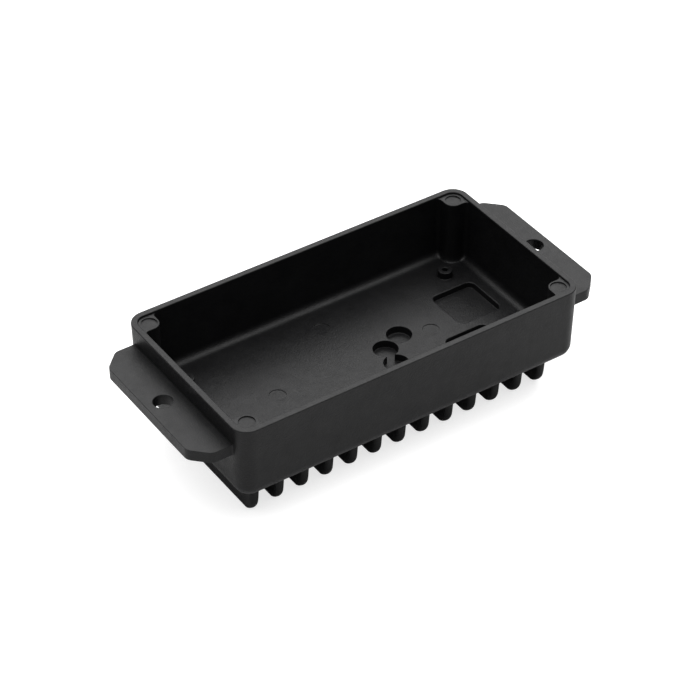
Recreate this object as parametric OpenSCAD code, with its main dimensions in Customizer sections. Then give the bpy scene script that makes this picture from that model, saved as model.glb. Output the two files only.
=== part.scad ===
// Die-cast aluminium housing and heat sink of a small charge controller.
// An open tray with a flat floor, four corner posts, two mounting ears and a
// row of cooling fins underneath. +X runs along the tray, +Y to its back,
// +Z up. The origin is on the plane of the fin tips, under the middle.

/* [Tray] */
// Length of the tray along X, without the ears
tray_len = 112.4; // [112:0.2:116]
// Width of the tray along Y
tray_wid = 59.8; // [59:0.2:70]
// Height from the fin tips to the rim
total_h = 36; // [34:0.5:46]
// Depth of the cavity, from the rim to the floor
cavity_depth = 20.9; // [19:0.1:21]
// Thickness of the floor slab
floor_t = 3.4; // [3.2:0.1:4.5]
// Thickness of the walls at the rim
rim_t = 1.9; // [1.6:0.1:2.2]
// Outer radius of the upright corners
corner_r = 5; // [4.8:0.1:6]
// Radius of the outer edge around the bottom of the tray
bottom_edge_r = 4.2; // [3:0.1:4.2]
// Small rounding on both edges of the rim
rim_edge_r = 0.3; // [0.2:0.05:0.4]
// Radius where the walls run into the floor
floor_fillet_r = 2.4; // [1:0.1:2.5]
// Draft angle of the walls, inside
inner_draft = 1; // [0.5:0.25:1.5]
// Draft angle of the walls, outside
outer_draft = 1.5; // [0:0.25:2]

/* [Corner posts] */
// Radius of the round inner corner of each post
post_r = 2.85; // [2.5:0.05:3]
// Drop from the rim to the ledge on top of each post
ledge_drop = 0.6; // [0.4:0.1:1]
// Radius of the hollow fillets between a post and the walls
post_web_r = 1.3; // [1:0.1:1.5]
// Radius of the shallow round recess on top of each post
post_mark_r = 2.3; // [2:0.05:2.4]
// Depth of that recess
post_mark_depth = 0.4; // [0.2:0.1:0.6]

/* [Mounting ears] */
// Distance between the centres of the two mounting holes
hole_spacing = 124; // [123:0.5:126]
// Diameter of the mounting holes, a clearance hole for M5
hole_d = 5.5; // [4.5:0.1:6]
// Distance between the outer edges of the two ears
ear_span = 134.2; // [133:0.2:138]
// Width of the ears along Y
ear_wid = 50.6; // [46:0.2:51]
// Drop from the rim to the top of the ears
ear_drop = 6; // [5:0.25:9]
// Thickness of the ears
ear_t = 3.5; // [2.4:0.1:4]
// Size of the 45 degree chamfers on the outer corners of the ears
ear_chamfer = 5; // [3:0.2:7]
// Radius that blends each chamfer into the edges beside it
ear_corner_r = 3; // [0.6:0.2:3.4]
// Radius of the hollow corner between an ear and the tray
ear_root_r = 0.5; // [0.3:0.1:2]

/* [Cooling fins] */
// Spacing of the fins
fin_pitch = 8.05; // [7:0.05:8.1]
// Length of a fin along Y, at its root
fin_len = 47.4; // [40:0.2:48]
// Thickness of a fin near its tip
fin_tip_t = 2.4; // [2:0.1:2.6]
// Radius of the two long edges of the tip
fin_tip_r = 0.9; // [0.3:0.1:0.9]
// Draft angle of the sides and ends of a fin
fin_draft = 2.5; // [1:0.25:3]
// Radius of the lower corners at the ends of a fin
fin_corner_r = 4.8; // [1:0.2:6]

/* [Board standoffs] */
// Distance between the standoffs along X
standoff_dx = 88.2; // [80:0.2:88.4]
// Distance between the standoffs along Y
standoff_dy = 36.6; // [30:0.2:37]
// Diameter of a standoff
standoff_d = 4.4; // [4:0.1:4.4]
// Height of a standoff above the floor
standoff_h = 2.3; // [2:0.1:4]
// Depth of its root in the floor slab
standoff_root = 2.5; // [2.2:0.1:2.6]
// Diameter of the blind screw hole, for an M2 thread
screw_d = 1.7; // [1.6:0.05:2]
// Depth of the blind screw hole
screw_depth = 4; // [3:0.1:4]

/* [Floor recesses] */
// Size of the two pockets along X
pocket_wid = 14.4; // [10:0.2:15]
// Size of the two pockets along Y
pocket_len = 15.2; // [10:0.2:15.4]
// Radius of the corners of the pockets
pocket_corner_r = 2; // [1:0.25:3]
// Depth of the pockets
pocket_depth = 1.9; // [1:0.1:2.2]
// Radius of the three round wells
well_r = 3.65; // [3:0.05:3.7]
// Depth of the wells
well_depth = 2.4; // [1.5:0.1:2.5]
// Radius of the round marks in the floor
floor_mark_r = 2.5; // [2:0.1:3]
// Depth of those marks
floor_mark_depth = 0.2; // [0.1:0.05:0.3]

/* [Hidden] */
$fn = 96;
casting = [0.13, 0.13, 0.14];
arc_steps = 12;        // straight pieces in a quarter of a drawn arc
over = 1;              // how far a cutter runs past the surface it opens
post_foot = 0.45;      // straight wall between a post's fillet and the seam
fin_count = 13;        // one node each

// Places on the floor, as the centres of the recesses. The second and third
// wells run into each other.
pocket_centres = [[41.6, 4.35], [33.1, -13.7]];
well_centres = [[17.2, 3.3], [10.3, 0.1], [9.3, -6.7]];
floor_mark_centres = [[-26, 0], [26, 0], [0.4, 17.9], [0.4, -17.9]];

half_len = tray_len / 2;
half_wid = tray_wid / 2;
rim_z = total_h;
floor_z = rim_z - cavity_depth;
base_z = floor_z - floor_t;
ear_top_z = rim_z - ear_drop;
ear_low_z = ear_top_z - ear_t;
ledge_z = rim_z - ledge_drop;

// The upright corners turn about these axes, and so do the post tops
axis_x = half_len - corner_r;
axis_y = half_wid - corner_r;

// Where the straight walls end and the corners begin
post_side_x = axis_x - post_r;
post_side_y = axis_y - post_r;
corner_margin = post_web_r + post_foot;
split_x = post_side_x - corner_margin;
split_y = post_side_y - corner_margin;

// Points of an arc about c, from angle a to angle b
function arc(c, r, a, b) =
    [for (i = [0:arc_steps]) let (t = a + (b - a) * i / arc_steps)
        c + r * [cos(t), sin(t)]];

// Distance of the drafted faces of a wall from the corner axis at height z
function outer_at(z) = corner_r - (rim_z - rim_edge_r - z) * tan(outer_draft);
function inner_at(z) = corner_r - rim_t - (rim_z - rim_edge_r - z) * tan(inner_draft);

// Section through a wall and its strip of floor. The first number is the
// distance outward from the corner axis, the second the height.
function wall_section() =
    let (outer_low = outer_at(base_z + bottom_edge_r),
         inner_low = inner_at(floor_z + floor_fillet_r))
    concat(
        [[0, floor_z], [0, base_z]],
        arc([outer_low - bottom_edge_r, base_z + bottom_edge_r], bottom_edge_r, -90, 0),
        arc([corner_r - rim_edge_r, rim_z - rim_edge_r], rim_edge_r, 0, 90),
        arc([corner_r - rim_t + rim_edge_r, rim_z - rim_edge_r], rim_edge_r, 90, 180),
        arc([inner_low - floor_fillet_r, floor_z + floor_fillet_r], floor_fillet_r, 0, -90));

// A straight length of wall along +X, its outer face toward +Y
module wall_run(length) {
    rotate([90, 0, 90])
        linear_extrude(height = length, center = true) polygon(wall_section());
}

module long_wall(side) {
    color(casting)
        rotate([0, 0, side > 0 ? 0 : 180])
            translate([0, axis_y, 0]) wall_run(2 * split_x);
}

module short_wall(side) {
    color(casting)
        rotate([0, 0, side > 0 ? -90 : 90])
            translate([0, axis_x, 0]) wall_run(2 * split_y);
}

// Outline of a post: round toward the cavity, with a hollow fillet where each
// side meets a wall. It ends inside the walls.
module post_outline() {
    inner_r = corner_r - rim_t;
    bury = 0.5;
    translate([axis_x, axis_y]) {
        circle(r = post_r);
        translate([-post_r, 0]) square([post_r, inner_r + bury]);
        translate([0, -post_r]) square([inner_r + bury, post_r]);
        intersection() {
            circle(r = inner_r + bury);
            square(corner_r);
        }
        translate([-post_r - post_web_r, inner_r - post_web_r]) web();
        translate([inner_r - post_web_r, -post_r - post_web_r]) web();
    }
}

// A square with a quarter circle taken out of its far corner
module web() {
    difference() {
        square(post_web_r + 0.5);
        circle(r = post_web_r);
    }
}

// One corner of the tray with its post, for the corner at +X +Y
module corner_post() {
    difference() {
        union() {
            translate([axis_x, axis_y, 0])
                rotate_extrude(angle = 90) polygon(wall_section());
            translate([(split_x + axis_x) / 2, axis_y, 0]) wall_run(axis_x - split_x);
            translate([axis_x, (split_y + axis_y) / 2, 0])
                rotate([0, 0, -90]) wall_run(axis_y - split_y);
            translate([split_x, split_y, base_z])
                cube([axis_x - split_x, axis_y - split_y, floor_t]);
            translate([0, 0, floor_z])
                linear_extrude(height = ledge_z - floor_z) post_outline();
        }
        translate([axis_x, axis_y, ledge_z - post_mark_depth])
            cylinder(r = post_mark_r, h = post_mark_depth + over);
    }
}

module corner_at(side_x, side_y) {
    color(casting)
        mirror([side_x < 0 ? 1 : 0, 0, 0])
            mirror([0, side_y < 0 ? 1 : 0, 0]) corner_post();
}

// The slab between the walls, with its pockets, wells and marks
module floor_plate() {
    color(casting)
        difference() {
            union() {
                translate([-split_x, -axis_y, base_z])
                    cube([2 * split_x, 2 * axis_y, floor_t]);
                translate([-axis_x, -split_y, base_z])
                    cube([2 * axis_x, 2 * split_y, floor_t]);
            }
            for (at = pocket_centres)
                translate([at.x, at.y, floor_z - pocket_depth])
                    linear_extrude(height = pocket_depth + over) pocket_outline();
            for (at = well_centres)
                translate([at.x, at.y, floor_z - well_depth])
                    cylinder(r = well_r, h = well_depth + over);
            for (at = floor_mark_centres)
                translate([at.x, at.y, floor_z - floor_mark_depth])
                    cylinder(r = floor_mark_r, h = floor_mark_depth + over);
            for (side_x = [-1, 1], side_y = [-1, 1])
                translate([side_x * standoff_dx / 2, side_y * standoff_dy / 2,
                           floor_z - standoff_root])
                    cylinder(d = standoff_d, h = standoff_root + over);
        }
}

// A rectangle with round corners, about the origin
module pocket_outline() {
    inner_wid = pocket_wid - 2 * pocket_corner_r;
    inner_len = pocket_len - 2 * pocket_corner_r;
    square([pocket_wid, inner_len], center = true);
    square([inner_wid, pocket_len], center = true);
    for (side_x = [-1, 1], side_y = [-1, 1])
        translate([side_x * inner_wid / 2, side_y * inner_len / 2]) circle(r = pocket_corner_r);
}

// Boss that the circuit board is screwed to, with a blind hole
module pcb_standoff(side_x, side_y) {
    top = floor_z + standoff_h;
    color(casting)
        translate([side_x * standoff_dx / 2, side_y * standoff_dy / 2, 0])
            difference() {
                translate([0, 0, floor_z - standoff_root])
                    cylinder(d = standoff_d, h = standoff_h + standoff_root);
                translate([0, 0, top - screw_depth])
                    cylinder(d = screw_d, h = screw_depth + over);
            }
}

// Flat plate on the end wall, with one hole, trimmed to the drafted walls
module mounting_ear(side) {
    color(casting)
        rotate([0, 0, side > 0 ? 0 : 180])
            difference() {
                translate([0, 0, ear_low_z])
                    linear_extrude(height = ear_t) ear_outline();
                tray_end();
                translate([hole_spacing / 2, 0, ear_low_z - over])
                    cylinder(d = hole_d, h = ear_t + 2 * over);
            }
}

// Outline of the ear at +X, with a hollow fillet where each side meets the
// tray. It starts inside the tray's wall.
module ear_outline() {
    reach = ear_span / 2;
    half = ear_wid / 2;
    buried = axis_x + corner_r / 2;
    wall_r = outer_at(ear_top_z);
    fillet_y = half + ear_root_r;
    fillet_x = axis_x + sqrt(pow(wall_r + ear_root_r, 2) - pow(fillet_y - axis_y, 2));
    turn = atan2(fillet_y - axis_y, fillet_x - axis_x);
    past = ear_chamfer + ear_corner_r * tan(22.5);
    back = concat([[buried, axis_y + wall_r * sin(turn)]],
                  arc([fillet_x, fillet_y], ear_root_r, turn - 180, -90),
                  arc([reach - past, half - ear_corner_r], ear_corner_r, 90, 45),
                  arc([reach - ear_corner_r, half - past], ear_corner_r, 45, 0));
    front = [for (i = [len(back) - 1:-1:0]) [back[i].x, -back[i].y]];
    polygon(concat(back, front));
}

// The end of the tray at +X, solid, over the height of the ears
module tray_end() {
    section = [for (z = [ear_low_z - over, ear_top_z + over]) [outer_at(z), z]];
    outline = concat([[0, ear_low_z - over]], section, [[0, ear_top_z + over]]);
    translate([axis_x, 0, 0])
        rotate([90, 0, 0])
            linear_extrude(height = 2 * axis_y, center = true) polygon(outline);
    for (side_y = [-1, 1])
        translate([axis_x, side_y * axis_y, 0])
            rotate([0, 0, side_y > 0 ? 0 : -90])
                rotate_extrude(angle = 90) polygon(outline);
}

// One fin, hanging below the floor slab: drafted sides, a narrow flat tip with
// round edges, and round lower corners
module cooling_fin(index) {
    tip_half = fin_tip_t / 2;
    root_half = tip_half + (base_z - fin_tip_r) * tan(fin_draft);
    end_root = fin_len / 2;
    end_low = end_root - (base_z - fin_corner_r) * tan(fin_draft);
    color(casting)
        translate([(index - (fin_count + 1) / 2) * fin_pitch, 0, 0])
            intersection() {
                rotate([90, 0, 0])
                    linear_extrude(height = 2 * fin_len, center = true)
                        polygon(concat([[root_half, base_z], [-root_half, base_z]],
                                       arc([fin_tip_r - tip_half, fin_tip_r], fin_tip_r, -180, -90),
                                       arc([tip_half - fin_tip_r, fin_tip_r], fin_tip_r, -90, 0)));
                rotate([90, 0, 90])
                    linear_extrude(height = 4 * fin_tip_t, center = true)
                        polygon(concat([[end_root, base_z], [-end_root, base_z]],
                                       arc([fin_corner_r - end_low, fin_corner_r],
                                           fin_corner_r, -180, -90),
                                       arc([end_low - fin_corner_r, fin_corner_r],
                                           fin_corner_r, -90, 0)));
            }
}

floor_plate();
long_wall(-1);  // front_wall
long_wall(1);  // back_wall
short_wall(-1);  // left_wall
short_wall(1);  // right_wall
corner_at(-1, -1);  // corner_post_front_left
corner_at(1, -1);  // corner_post_front_right
corner_at(-1, 1);  // corner_post_back_left
corner_at(1, 1);  // corner_post_back_right
mounting_ear(-1);  // mounting_ear_left
mounting_ear(1);  // mounting_ear_right
pcb_standoff(-1, -1);  // pcb_standoff_front_left
pcb_standoff(1, -1);  // pcb_standoff_front_right
pcb_standoff(-1, 1);  // pcb_standoff_back_left
pcb_standoff(1, 1);  // pcb_standoff_back_right
cooling_fin(1);  // cooling_fin_01
cooling_fin(2);  // cooling_fin_02
cooling_fin(3);  // cooling_fin_03
cooling_fin(4);  // cooling_fin_04
cooling_fin(5);  // cooling_fin_05
cooling_fin(6);  // cooling_fin_06
cooling_fin(7);  // cooling_fin_07
cooling_fin(8);  // cooling_fin_08
cooling_fin(9);  // cooling_fin_09
cooling_fin(10);  // cooling_fin_10
cooling_fin(11);  // cooling_fin_11
cooling_fin(12);  // cooling_fin_12
cooling_fin(13);  // cooling_fin_13
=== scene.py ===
"""Looks of the die-cast housing: every region of the casting is rebuilt around its
CAD node with rounded edges, fillets and draft, under one black semi-gloss coat.

Shapes are worked out in millimetres, in the frame of the part: +X along the tray,
+Y to its back, +Z up, and the plane of the fin tips at zero.
"""
import math

import bmesh
import bpy
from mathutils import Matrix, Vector
from mathutils.geometry import tessellate_polygon


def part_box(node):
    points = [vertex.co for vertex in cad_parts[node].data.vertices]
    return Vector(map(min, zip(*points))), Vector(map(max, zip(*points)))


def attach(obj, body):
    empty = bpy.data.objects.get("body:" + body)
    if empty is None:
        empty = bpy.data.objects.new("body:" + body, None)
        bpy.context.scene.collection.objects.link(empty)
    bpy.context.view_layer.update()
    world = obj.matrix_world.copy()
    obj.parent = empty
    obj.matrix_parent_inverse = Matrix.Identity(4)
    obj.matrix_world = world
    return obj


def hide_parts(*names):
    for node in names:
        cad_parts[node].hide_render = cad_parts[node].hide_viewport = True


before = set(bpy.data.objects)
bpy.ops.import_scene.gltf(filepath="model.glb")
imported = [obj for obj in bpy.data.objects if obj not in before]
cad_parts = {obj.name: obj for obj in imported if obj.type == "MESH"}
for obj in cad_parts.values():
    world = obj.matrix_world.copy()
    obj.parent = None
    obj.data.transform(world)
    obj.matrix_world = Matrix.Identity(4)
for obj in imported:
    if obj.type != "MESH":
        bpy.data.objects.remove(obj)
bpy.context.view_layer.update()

MM = 0.001
MERGE_DIST = 0.002 * MM
THINNEST_EDGE = 0.001 * MM
SHARP_ANGLE = math.radians(32)


def span(node):
    """Lowest and highest corner of a CAD node, in millimetres."""
    low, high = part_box(node)
    return low / MM, high / MM


# Sizes read from the frame
rim_z = span("front_wall")[1].z
base_z = span("floor_plate")[0].z
floor_z = span("floor_plate")[1].z
half_len = span("corner_post_back_right")[1].x
axis_x = span("floor_plate")[1].x
axis_y = span("floor_plate")[1].y
split_x = span("back_wall")[1].x
split_y = span("right_wall")[1].y
ear_low, ear_high = span("mounting_ear_right")
ear_reach = ear_high.x
ear_z = (ear_low.z, ear_high.z)
CORNER_R = half_len - axis_x

# Shape of the walls
RIM_T = 1.9
RIM_EDGE_R = 0.3
BOTTOM_EDGE_R = 4.2
FLOOR_FILLET_R = 2.4
INNER_DRAFT = math.radians(1.0)
OUTER_DRAFT = math.radians(1.5)

# Corner posts
POST_R = 2.85
POST_WEB_R = 1.3
POST_FOOT_R = 0.9
LEDGE_DROP = 0.6
LEDGE_EDGE_R = 0.2
MARK_R = 2.3
MARK_DEPTH = 0.4
MARK_EDGE_R = 0.08
MARK_FOOT_R = 0.1
MARK_FOOT_MIDDLE = 0.03

# Mounting ears
EAR_HALF = 25.3
EAR_CHAMFER = 5.0
EAR_CORNER_R = 3.0
EAR_ROOT_R = 0.5
EAR_EDGE_R = 0.15
EAR_HOLE_X = 62.0
EAR_HOLE_R = 2.75
EAR_HOLE_EDGE_R = 0.2
EAR_BURIED = 1.0
EAR_SIDE_INSET = 0.5

# Cooling fins
FIN_TIP_T = 2.4
FIN_TIP_R = 1.0
FIN_DRAFT = math.radians(2.5)
FIN_CORNER_R = 4.8
FIN_EDGE_R = 1.2
FIN_ROOT_R = 0.8
FIN_RINGS_LOW = [1.6, 2.2, 2.9, 3.8]
FIN_RING_HIGH = 7.0

# Standoffs
STANDOFF_FOOT_R = 0.25
STANDOFF_EDGE_R = 0.15
STANDOFF_FOOT_BURIED = 0.05
SCREW_R = 0.85
SCREW_DEPTH = 4.0
SCREW_CHAMFER = 0.15

# Recesses in the floor
POCKET_HALF = (7.2, 7.6)
POCKET_R = 2.0
POCKET_DEPTH = 1.9
POCKETS = ((41.6, 4.35), (33.1, -13.7))
WELL_R = 3.65
WELL_DEPTH = 2.4
LONE_WELL = (17.2, 3.3)
JOINED_WELLS = ((10.3, 0.1), (9.3, -6.7))
FLOOR_MARK_R = 2.5
FLOOR_MARK_DEPTH = 0.2
FLOOR_MARKS = ((-26.0, 0.0), (26.0, 0.0), (0.4, 17.9), (0.4, -17.9))

# The view, in metres, degrees and millimetres of lens
CAMERA_PLACE = (-0.3088, -0.4525, 0.4636)
CAMERA_HEADING = -34.148
CAMERA_DROP = 39.04
CAMERA_LENS = 129.84


# ---------------------------------------------------------------- plane curves

def arc(centre, radius, start, end, steps):
    """Points of an arc about centre; angles in degrees."""
    points = []
    for i in range(steps + 1):
        turn = math.radians(start + (end - start) * i / steps)
        points.append((centre[0] + radius * math.cos(turn), centre[1] + radius * math.sin(turn)))
    return points


def line(start, end, steps):
    """Points along a straight line, both ends included."""
    return [(start[0] + (end[0] - start[0]) * i / steps, start[1] + (end[1] - start[1]) * i / steps)
            for i in range(steps + 1)]


def circle(centre, radius, steps=48):
    return arc(centre, radius, 0, 360, steps)[:-1]


def rounded_box(centre, half, radius, steps=8):
    """A rectangle with round corners."""
    points = []
    for sign_x, sign_y, start in ((1, 1, 0), (-1, 1, 90), (-1, -1, 180), (1, -1, 270)):
        corner = (centre[0] + sign_x * (half[0] - radius), centre[1] + sign_y * (half[1] - radius))
        points += arc(corner, radius, start, start + 90, steps)
    return points


def two_circles(first, second, radius, steps=32):
    """Outline of two circles of one radius that run into each other."""
    dx, dy = second[0] - first[0], second[1] - first[1]
    heading = math.degrees(math.atan2(dy, dx))
    opening = math.degrees(math.acos(math.hypot(dx, dy) / 2 / radius))
    around_first = arc(first, radius, heading + opening, heading + 360 - opening, steps)
    around_second = arc(second, radius, heading - 180 + opening, heading + 180 - opening, steps)
    return around_first + around_second[1:-1]


def outer_at(z):
    """Distance of the drafted outer face of a wall from the corner axis."""
    return CORNER_R - (rim_z - RIM_EDGE_R - z) * math.tan(OUTER_DRAFT)


def inner_at(z):
    """The same for the inner face."""
    return CORNER_R - RIM_T - (rim_z - RIM_EDGE_R - z) * math.tan(INNER_DRAFT)


# ---------------------------------------------------------------- mesh building

class Shell:
    """Collects rings of points and the faces between them, in millimetres."""

    def __init__(self):
        self.points = []
        self.faces = []

    def ring(self, outline, z):
        """Adds a row of points at one height, or with a height of their own."""
        start = len(self.points)
        for point in outline:
            self.points.append((point[0], point[1], point[2] if len(point) > 2 else z))
        return list(range(start, len(self.points)))

    def skin(self, lower, upper, closed=True):
        """Quads between two rings with as many points."""
        count = len(lower)
        for i in range(count if closed else count - 1):
            j = (i + 1) % count
            self.faces.append((lower[i], lower[j], upper[j], upper[i]))

    def loft(self, rings, closed=True):
        for lower, upper in zip(rings, rings[1:]):
            self.skin(lower, upper, closed)

    def fill(self, *loops):
        """Triangles over a flat face; loops after the first are its holes."""
        vectors = [[Vector(self.points[i]) for i in loop] for loop in loops]
        order = [i for loop in loops for i in loop]
        for triangle in tessellate_polygon(vectors):
            self.faces.append(tuple(order[i] for i in triangle))

    def build(self, name, mirror_x=False, mirror_y=False):
        """Makes the object, in metres, with its normals outward."""
        sign_x, sign_y = -1 if mirror_x else 1, -1 if mirror_y else 1
        mesh = bpy.data.meshes.new(name)
        scaled = [(x * sign_x * MM, y * sign_y * MM, z * MM) for x, y, z in self.points]
        mesh.from_pydata(scaled, [], self.faces)
        work = bmesh.new()
        work.from_mesh(mesh)
        bmesh.ops.remove_doubles(work, verts=work.verts, dist=MERGE_DIST)
        bmesh.ops.dissolve_degenerate(work, edges=work.edges, dist=THINNEST_EDGE)
        bmesh.ops.recalc_face_normals(work, faces=work.faces)
        for edge in work.edges:
            sharp = len(edge.link_faces) == 2 and edge.calc_face_angle() > SHARP_ANGLE
            edge.smooth = not sharp
        for face in work.faces:
            face.smooth = True
        work.to_mesh(mesh)
        work.free()
        piece = bpy.data.objects.new(name, mesh)
        bpy.context.scene.collection.objects.link(piece)
        flats = piece.modifiers.new("flats stay flat", "WEIGHTED_NORMAL")
        flats.keep_sharp = True
        return piece


def hand_over(piece, material, node):
    """The piece stands for one CAD node and moves with the only body."""
    piece.data.materials.append(material)
    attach(piece, "root")
    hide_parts(node)


# ---------------------------------------------------------------- the walls

def wall_levels():
    """Section through a wall, from the bottom outside over the rim to the floor
    inside, as (distance outward from the corner axis, height, inner) points."""
    outer_low = outer_at(base_z + BOTTOM_EDGE_R)
    inner_rim = CORNER_R - RIM_T
    inner_low = inner_at(floor_z + FLOOR_FILLET_R)
    outside = arc((outer_low - BOTTOM_EDGE_R, base_z + BOTTOM_EDGE_R), BOTTOM_EDGE_R, -90, 0, 14)
    outside += arc((CORNER_R - RIM_EDGE_R, rim_z - RIM_EDGE_R), RIM_EDGE_R, 0, 90, 6)
    inside = arc((inner_rim + RIM_EDGE_R, rim_z - RIM_EDGE_R), RIM_EDGE_R, 90, 180, 6)
    foot = arc((inner_low - FLOOR_FILLET_R, floor_z + FLOOR_FILLET_R), FLOOR_FILLET_R, 0, -90, 10)
    return outside, inside, foot


def make_wall(name, half_run, place):
    """A straight wall with its strip of floor. place turns (along, outward) into (x, y)."""
    outside, inside, foot = wall_levels()
    section = outside + inside + foot + [(0.0, floor_z), (0.0, base_z)]
    shell = Shell()
    rows = []
    for along in (-half_run, half_run):
        rows.append(shell.ring([(*place(along, out), z) for out, z in section], 0))
    shell.skin(rows[0], rows[1])
    shell.fill(rows[0])
    shell.fill(rows[1])
    return shell.build(name)


# ---------------------------------------------------------------- the corners

WEB_STEPS = 6
TURN_STEPS = 14


def outer_run(radius, margin):
    """Plan curve round the corner axis at one radius, from seam to seam."""
    half_way = [(-margin, radius)]
    half_way += line((-0.9 * margin, radius), (-0.05 * margin, radius), WEB_STEPS)
    turn = arc((0, 0), radius, 90, 0, TURN_STEPS)
    return half_way + turn + [(y, x) for x, y in reversed(half_way)]


def wall_run(wall, post, web, margin):
    """The same for the inside of the walls, in step with post_run."""
    tip = -post - web
    half_way = [(-margin, wall)]
    half_way += line((tip, wall), (0.1 * tip, wall), WEB_STEPS)
    turn = arc((0, 0), wall, 90, 0, TURN_STEPS)
    return half_way + turn + [(y, x) for x, y in reversed(half_way)]


def post_run(wall, post, web, margin):
    """Plan curve along the wall, through a hollow fillet and round the post."""
    centre = (-post - web, wall - web)
    half_way = [(-margin, wall)]
    half_way += arc(centre, web, 90, 0, WEB_STEPS)
    turn = arc((0, 0), post, 180, 270, TURN_STEPS)
    return half_way + turn + [(y, x) for x, y in reversed(half_way)]


def make_corner(name, mirror_x, mirror_y):
    """A corner of the tray with its post. It is built about the corner's upright
    axis, then moved into place."""
    margin = axis_x - split_x
    outside, inside, foot = wall_levels()
    ledge_z = rim_z - LEDGE_DROP
    shell = Shell()
    rows = [shell.ring(outer_run(out, margin), z) for out, z in outside]
    rows += [shell.ring(wall_run(out, POST_R, POST_WEB_R, margin), z) for out, z in inside]
    ledge_back = shell.ring(wall_run(inner_at(ledge_z), POST_R, POST_WEB_R, margin), ledge_z)
    rows.append(ledge_back)
    shell.loft(rows, closed=False)

    # The ledge on top of the post, with its shallow round recess
    edge = []
    for out, z in arc((0, ledge_z - LEDGE_EDGE_R), LEDGE_EDGE_R, 90, 0, 4):
        inward = LEDGE_EDGE_R - out
        run = post_run(inner_at(z), POST_R - inward, POST_WEB_R + inward, margin)
        run = [(min(x, inner_at(z)), min(y, inner_at(z))) for x, y in run]
        edge.append(shell.ring(run, z))
    ledge_front = edge[0]
    recess = [shell.ring(circle((0, 0), MARK_R + MARK_EDGE_R * (1 - math.sin(math.radians(t)))),
                         ledge_z - MARK_EDGE_R * (1 - math.cos(math.radians(t))))
              for t in (0, 30, 60, 90)]
    for into, above in ((0, MARK_FOOT_R), (MARK_FOOT_MIDDLE, MARK_FOOT_MIDDLE), (MARK_FOOT_R, 0)):
        recess.append(shell.ring(circle((0, 0), MARK_R - into), ledge_z - MARK_DEPTH + above))
    shell.fill(ledge_back[1:-1] + ledge_front[-3:1:-1], recess[0])
    shell.loft(recess)
    shell.fill(recess[-1])

    # Down the walls and the post to the floor
    down = list(edge)
    for out, z in foot:
        grown = (foot[0][0] - out) * POST_FOOT_R / FLOOR_FILLET_R
        web = max(POST_WEB_R - grown, 0.0)
        down.append(shell.ring(post_run(out, POST_R + grown, web, margin), z))
    shell.loft(down, closed=False)

    # The strip of floor, the seams and the underside
    top_corner = shell.ring([(-margin, -margin)], floor_z)
    low_corner = shell.ring([(-margin, -margin)], base_z)
    seam_rows = rows + down
    shell.fill(down[-1] + top_corner)
    shell.fill([row[0] for row in seam_rows] + top_corner + low_corner)
    shell.fill([row[-1] for row in seam_rows] + top_corner + low_corner)
    shell.fill(rows[0] + low_corner)
    shell.points = [(x + axis_x, y + axis_y, z) for x, y, z in shell.points]
    return shell.build(name, mirror_x, mirror_y)


# ---------------------------------------------------------------- the floor

def sink(shell, outline, depth, edge_r, foot_r, lean=0.0):
    """A recess in the floor: a rounded rim, a drafted wall and a filleted foot.
    outline(grow) gives its curve, grown by that much. Returns the rim's ring."""
    rings = []
    for t in (0, 22.5, 45, 67.5, 90):
        turn = math.radians(t)
        rings.append(shell.ring(outline(edge_r * (1 - math.sin(turn))),
                                floor_z - edge_r * (1 - math.cos(turn))))
    for t in (0, 30, 60, 90):
        turn = math.radians(t)
        rings.append(shell.ring(outline(-lean - foot_r * (1 - math.cos(turn))),
                                floor_z - depth + foot_r * (1 - math.sin(turn))))
    shell.loft(rings)
    shell.fill(rings[-1])
    return rings[0]


def make_floor():
    """The slab between the walls, with its pockets, wells and marks."""
    shell = Shell()
    cross = [(split_x, axis_y), (-split_x, axis_y), (-split_x, split_y), (-axis_x, split_y),
             (-axis_x, -split_y), (-split_x, -split_y), (-split_x, -axis_y), (split_x, -axis_y),
             (split_x, -split_y), (axis_x, -split_y), (axis_x, split_y), (split_x, split_y)]
    top = shell.ring(cross, floor_z)
    bottom = shell.ring(cross, base_z)
    shell.skin(bottom, top)
    shell.fill(bottom)
    holes = []
    for centre in POCKETS:
        def pocket(grow, centre=centre):
            return rounded_box(centre, (POCKET_HALF[0] + grow, POCKET_HALF[1] + grow), POCKET_R + grow)
        holes.append(sink(shell, pocket, POCKET_DEPTH, edge_r=0.3, foot_r=0.2, lean=0.05))
    holes.append(sink(shell, lambda grow: circle(LONE_WELL, WELL_R + grow, 64),
                      WELL_DEPTH, edge_r=0.2, foot_r=0.25, lean=0.04))
    holes.append(sink(shell, lambda grow: two_circles(*JOINED_WELLS, WELL_R + grow, 40),
                      WELL_DEPTH, edge_r=0.18, foot_r=0.1, lean=0.02))
    for centre in FLOOR_MARKS:
        def mark(grow, centre=centre):
            return circle(centre, FLOOR_MARK_R + grow, 48)
        holes.append(sink(shell, mark, FLOOR_MARK_DEPTH, edge_r=0.04, foot_r=0.04))
    shell.fill(top, *holes)
    return shell.build("floor_plate_shell")


# ---------------------------------------------------------------- ears

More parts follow.
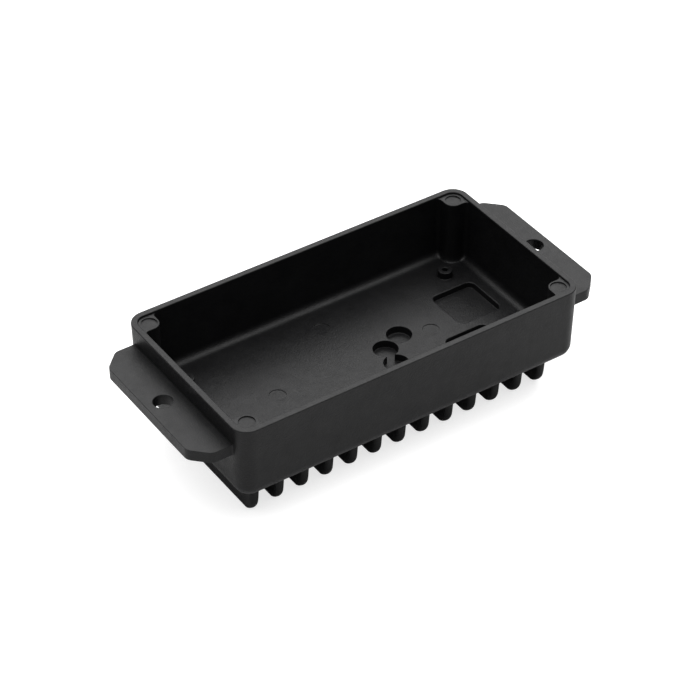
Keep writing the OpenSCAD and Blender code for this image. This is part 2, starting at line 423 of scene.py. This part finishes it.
def ear_outline(grow):
    """Plan of the ear at +X, grown by that much, from root to root. It starts a
    little inside the wall."""
    wall_r = outer_at(ear_z[1])
    root_r = EAR_ROOT_R - grow
    half = EAR_HALF + grow
    root_y = EAR_HALF + EAR_ROOT_R
    root_x = axis_x + math.sqrt((wall_r + EAR_ROOT_R) ** 2 - (root_y - axis_y) ** 2)
    turn = math.degrees(math.atan2(root_y - axis_y, root_x - axis_x))
    side = arc((root_x, root_y), root_r, turn - 180, -90, 8)
    past = EAR_CHAMFER + EAR_CORNER_R * math.tan(math.radians(22.5))
    side += line((root_x + EAR_SIDE_INSET, half), (ear_reach - past - EAR_SIDE_INSET, half), 4)
    side += arc((ear_reach - past, EAR_HALF - EAR_CORNER_R), EAR_CORNER_R + grow, 90, 45, 8)
    side += arc((ear_reach - EAR_CORNER_R, EAR_HALF - past), EAR_CORNER_R + grow, 45, 0, 8)
    start = (side[0][0] - EAR_BURIED, side[0][1] - EAR_BURIED * 0.3)
    back = [start] + side
    return back + [(x, -y) for x, y in reversed(back)]


def make_ear(name, mirror_x):
    """A flat plate with rounded edges and one hole."""
    shell = Shell()
    low_z, high_z = ear_z
    quarter = (0, 22.5, 45, 67.5, 90)
    outer, hole = [], []
    for t in quarter:
        turn = math.radians(t)
        outer.append((-EAR_EDGE_R * (1 - math.sin(turn)), low_z + EAR_EDGE_R * (1 - math.cos(turn))))
        hole.append((EAR_HOLE_EDGE_R * (1 - math.sin(turn)),
                     low_z + EAR_HOLE_EDGE_R * (1 - math.cos(turn))))
    outer += [(grow, low_z + high_z - z) for grow, z in reversed(outer)]
    hole += [(grow, low_z + high_z - z) for grow, z in reversed(hole)]
    rims = [shell.ring(ear_outline(grow), z) for grow, z in outer]
    bores = [shell.ring(circle((EAR_HOLE_X, 0), EAR_HOLE_R + grow, 64), z) for grow, z in hole]
    shell.loft(rims)
    shell.loft(bores)
    shell.fill(rims[0], bores[0])
    shell.fill(rims[-1], bores[-1])
    return shell.build(name, mirror_x)


# ---------------------------------------------------------------- fins

def make_fin(name, centre_x, half_root):
    """A fin with drafted sides, a narrow flat tip between rounded edges, round
    corners at its lower ends and a filleted root."""
    shell = Shell()
    levels = [FIN_TIP_R * (1 - math.cos(math.radians(t))) for t in range(0, 91, 10)]
    levels += FIN_RINGS_LOW + [FIN_CORNER_R, FIN_RING_HIGH, base_z - FIN_ROOT_R]
    levels += [base_z - FIN_ROOT_R * (1 - math.sin(math.radians(t))) for t in (18, 36, 54, 72, 90)]
    end_low = half_root - (base_z - FIN_CORNER_R) * math.tan(FIN_DRAFT)
    rings = []
    for z in levels:
        into_tip = max(FIN_TIP_R - z, 0)
        half_t = FIN_TIP_T / 2 - FIN_TIP_R + math.sqrt(FIN_TIP_R ** 2 - into_tip ** 2)
        half_t += max(z - FIN_TIP_R, 0) * math.tan(FIN_DRAFT)
        into = max(FIN_CORNER_R - z, 0)
        half_l = end_low - FIN_CORNER_R + math.sqrt(FIN_CORNER_R ** 2 - into ** 2)
        half_l += max(z - FIN_CORNER_R, 0) * math.tan(FIN_DRAFT)
        into_root = max(z - (base_z - FIN_ROOT_R), 0)
        flare = FIN_ROOT_R - math.sqrt(max(FIN_ROOT_R ** 2 - into_root ** 2, 0))
        round_r = min(FIN_EDGE_R, half_t * 0.96) + flare
        outline = rounded_box((centre_x, 0), (half_t + flare, half_l + flare), round_r, 6)
        rings.append(shell.ring(outline, z))
    shell.loft(rings)
    shell.fill(rings[0])
    shell.fill(rings[-1])
    return shell.build(name)


# ---------------------------------------------------------------- standoffs

def make_standoff(name, centre, radius, low_z, top_z):
    """A boss with a filleted foot and a blind screw hole."""
    foot_r, edge_r = STANDOFF_FOOT_R, STANDOFF_EDGE_R
    buried_z = floor_z - STANDOFF_FOOT_BURIED
    profile = [(radius, low_z), (radius, buried_z), (radius + foot_r, buried_z)]
    profile += arc((radius + foot_r, floor_z + foot_r), foot_r, 270, 180, 5)
    profile += arc((radius - edge_r, top_z - edge_r), edge_r, 0, 90, 4)
    profile += [(SCREW_R + SCREW_CHAMFER, top_z), (SCREW_R, top_z - SCREW_CHAMFER),
                (SCREW_R, top_z - SCREW_DEPTH)]
    shell = Shell()
    rings = [shell.ring(circle(centre, r, 40), z) for r, z in profile]
    shell.loft(rings)
    shell.fill(rings[0])
    shell.fill(rings[-1])
    return shell.build(name)


# ---------------------------------------------------------------- the coat

def black_coat():
    """Semi-gloss black coat over a cast surface: fine orange peel, faint cloudiness
    in its gloss, and a slightly paler tone where it thins."""
    material = bpy.data.materials.new("black_coat")
    material.use_nodes = True
    nodes, links = material.node_tree.nodes, material.node_tree.links
    shader = nodes["Principled BSDF"]
    place = nodes.new("ShaderNodeTexCoord")

    def noise(scale, detail, rough=0.55):
        node = nodes.new("ShaderNodeTexNoise")
        node.inputs["Scale"].default_value = scale
        node.inputs["Detail"].default_value = detail
        node.inputs["Roughness"].default_value = rough
        links.new(place.outputs["Object"], node.inputs["Vector"])
        return node.outputs["Fac"]

    def spread(source, low, high, from_low=0.3, from_high=0.7):
        node = nodes.new("ShaderNodeMapRange")
        node.inputs["From Min"].default_value = from_low
        node.inputs["From Max"].default_value = from_high
        node.inputs["To Min"].default_value = low
        node.inputs["To Max"].default_value = high
        links.new(source, node.inputs["Value"])
        return node.outputs["Result"]

    tint = nodes.new("ShaderNodeMix")
    tint.data_type = "RGBA"
    tint.inputs["A"].default_value = (0.0022, 0.0022, 0.0025, 1)
    tint.inputs["B"].default_value = (0.0040, 0.0040, 0.0043, 1)
    links.new(spread(noise(160, 4), 0, 1), tint.inputs["Factor"])
    links.new(tint.outputs["Result"], shader.inputs["Base Color"])
    links.new(spread(noise(420, 3), 0.37, 0.46), shader.inputs["Roughness"])
    shader.inputs["IOR"].default_value = 1.3

    peel = nodes.new("ShaderNodeBump")
    peel.inputs["Strength"].default_value = 0.7
    peel.inputs["Distance"].default_value = 0.12 * MM
    links.new(noise(2600, 2), peel.inputs["Height"])
    waves = nodes.new("ShaderNodeBump")
    waves.inputs["Strength"].default_value = 0.3
    waves.inputs["Distance"].default_value = 0.12 * MM
    links.new(noise(500, 2), waves.inputs["Height"])
    links.new(peel.outputs["Normal"], waves.inputs["Normal"])
    links.new(waves.outputs["Normal"], shader.inputs["Normal"])
    return material


# ---------------------------------------------------------------- the studio

def plain_material(name, colour, roughness):
    material = bpy.data.materials.new(name)
    material.use_nodes = True
    shader = material.node_tree.nodes["Principled BSDF"]
    shader.inputs["Base Color"].default_value = (*colour, 1)
    shader.inputs["Roughness"].default_value = roughness
    return material


def soft_light(name, place, aim, size, power):
    """A square panel light at place, turned to aim."""
    data = bpy.data.lights.new(name, "AREA")
    data.shape = "RECTANGLE"
    data.size, data.size_y = size
    data.energy = power
    lamp = bpy.data.objects.new(name, data)
    lamp.location = place
    lamp.rotation_euler = (Vector(aim) - Vector(place)).to_track_quat("-Z", "Y").to_euler()
    bpy.context.scene.collection.objects.link(lamp)


def floor_sheet(name, height, material):
    """A large level sheet that is part of the stage."""
    side = 6.0
    mesh = bpy.data.meshes.new(name)
    mesh.from_pydata([(-side, -side, height), (side, -side, height), (side, side, height),
                      (-side, side, height)], [], [(0, 1, 2, 3)])
    mesh.materials.append(material)
    sheet = bpy.data.objects.new(name, mesh)
    bpy.context.scene.collection.objects.link(sheet)
    return sheet


def studio():
    """A pale floor under a large soft panel overhead and a brighter one behind.
    The floor that shows is a bright sheet with faint shadows, and the coat mirrors
    a plain matt one just above it, whose shadows are deep."""
    scene = bpy.context.scene
    paper = plain_material("studio_floor", (0.45, 0.45, 0.45), 0.9)
    glow = paper.node_tree.nodes["Principled BSDF"].inputs
    glow["Emission Color"].default_value = (1, 1, 1, 1)
    glow["Emission Strength"].default_value = 0.72
    shown = floor_sheet("studio_floor", 0, paper)
    shown.visible_glossy = False
    matt = plain_material("studio_floor_matt", (0.54, 0.54, 0.54), 1.0)
    mirrored = floor_sheet("studio_floor_mirrored", 0.02 * MM, matt)
    mirrored.visible_camera = False
    mirrored.visible_diffuse = False
    mirrored.visible_shadow = False

    world = bpy.data.worlds.new("studio")
    scene.world = world
    world.use_nodes = True
    world.node_tree.nodes["Background"].inputs["Color"].default_value = (1, 1, 1, 1)
    world.node_tree.nodes["Background"].inputs["Strength"].default_value = 0.3
    soft_light("overhead_panel", (0.1, 0.2, 1.4), (0, 0, 0), (2.8, 2.8), 75)
    soft_light("back_panel", (0.75, 1.1, 0.9), (0, 0, 0), (1.6, 1.2), 9)
    scene.view_settings.view_transform = "Standard"


def camera():
    """The camera looks down from the front left."""
    scene = bpy.context.scene
    data = bpy.data.cameras.new("camera")
    data.sensor_width = 36.0
    data.lens = CAMERA_LENS
    eye = bpy.data.objects.new("camera", data)
    eye.location = CAMERA_PLACE
    eye.rotation_euler = (math.radians(90) - math.radians(CAMERA_DROP), 0, math.radians(CAMERA_HEADING))
    scene.collection.objects.link(eye)
    scene.camera = eye


camera()
studio()
coat = black_coat()

walls = {
    "front_wall": (split_x, lambda along, out: (along, -axis_y - out)),
    "back_wall": (split_x, lambda along, out: (along, axis_y + out)),
    "left_wall": (split_y, lambda along, out: (-axis_x - out, along)),
    "right_wall": (split_y, lambda along, out: (axis_x + out, along)),
}
for node, (half_run, place) in walls.items():
    hand_over(make_wall(node + "_shell", half_run, place), coat, node)

ends = (("left", True), ("right", False))
for row, mirror_y in (("front", True), ("back", False)):
    for end, mirror_x in ends:
        node = f"corner_post_{row}_{end}"
        hand_over(make_corner(node + "_shell", mirror_x, mirror_y), coat, node)
        node = f"pcb_standoff_{row}_{end}"
        low, high = span(node)
        middle = (low + high) / 2
        standoff = make_standoff(node + "_shell", (middle.x, middle.y), (high.x - low.x) / 2,
                                 low.z, high.z)
        hand_over(standoff, coat, node)

for end, mirror_x in ends:
    node = f"mounting_ear_{end}"
    hand_over(make_ear(node + "_shell", mirror_x), coat, node)

hand_over(make_floor(), coat, "floor_plate")

for node in sorted(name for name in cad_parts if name.startswith("cooling_fin")):
    low, high = span(node)
    fin = make_fin(node + "_shell", (low.x + high.x) / 2, high.y)
    hand_over(fin, coat, node)
